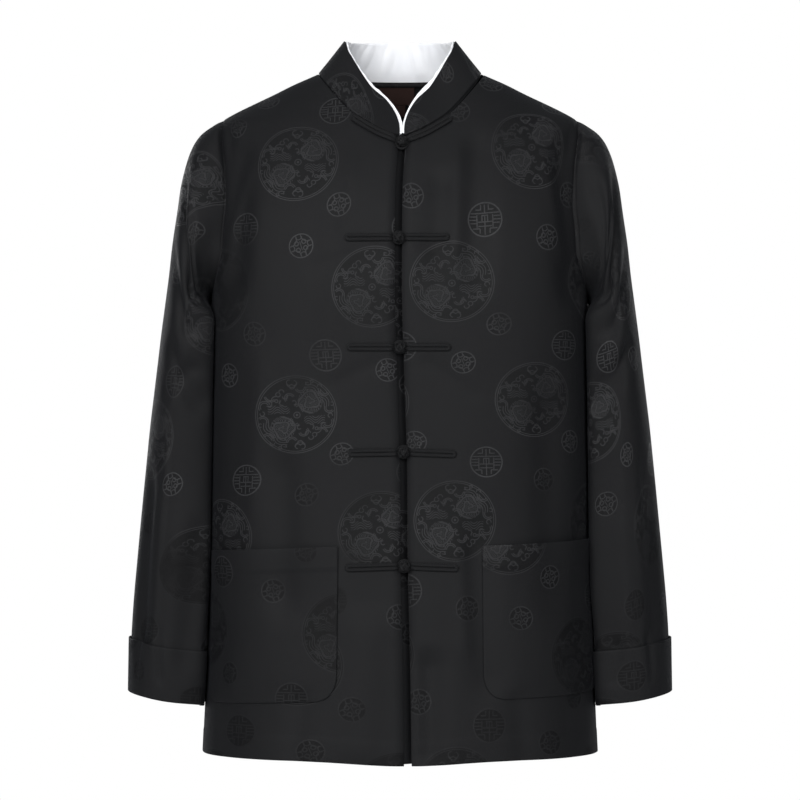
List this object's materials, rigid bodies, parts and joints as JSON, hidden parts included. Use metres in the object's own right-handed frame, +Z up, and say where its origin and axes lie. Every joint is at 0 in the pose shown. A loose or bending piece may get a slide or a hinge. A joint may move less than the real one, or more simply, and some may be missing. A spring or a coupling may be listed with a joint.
{
  "type": "tang jacket",
  "caption": "Hip-length jacket with a stand collar, edge-to-edge front, knotted frog fastenings, patch pockets and turned-back cuffs, filled out as worn and hollow.",
  "frame": {"origin": "midway between the two shoulder-neck points, where the wearer's shoulders carry the jacket", "axes": "+Z up; the front faces -Y; +X is the wearer's left"},
  "size_m": [0.571, 0.2852, 0.7512],
  "materials": {
    "brocade": "black woven brocade with tone-on-tone dragon and fret medallions, soft sheen",
    "satin": "white satin, smooth",
    "cord": "black bias-cut satin cord, soft sheen",
    "label": "dark reddish-brown woven label, bare"
  },
  "bodies": {
    "root": {"back": "brocade", "front_right": "brocade", "front_left": "brocade", "underlap": "brocade", "sleeve_right": "brocade", "cuff_right": "brocade", "sleeve_left": "brocade", "cuff_left": "brocade", "collar": "brocade", "collar_liner": "satin", "neck_label": "label", "size_tab": "label", "pocket_right": "brocade", "pocket_left": "brocade", "frog_1_loop": "cord", "frog_1_knot": "cord", "frog_1_strap_right": "cord", "frog_1_strap_left": "cord", "frog_2_loop": "cord", "frog_2_knot": "cord", "frog_2_strap_right": "cord", "frog_2_strap_left": "cord", "frog_3_loop": "cord", "frog_3_knot": "cord", "frog_3_strap_right": "cord", "frog_3_strap_left": "cord", "frog_4_loop": "cord", "frog_4_knot": "cord", "frog_4_strap_right": "cord", "frog_4_strap_left": "cord", "frog_5_loop": "cord", "frog_5_knot": "cord", "frog_5_strap_right": "cord", "frog_5_strap_left": "cord"}
  },
  "joints": []
}
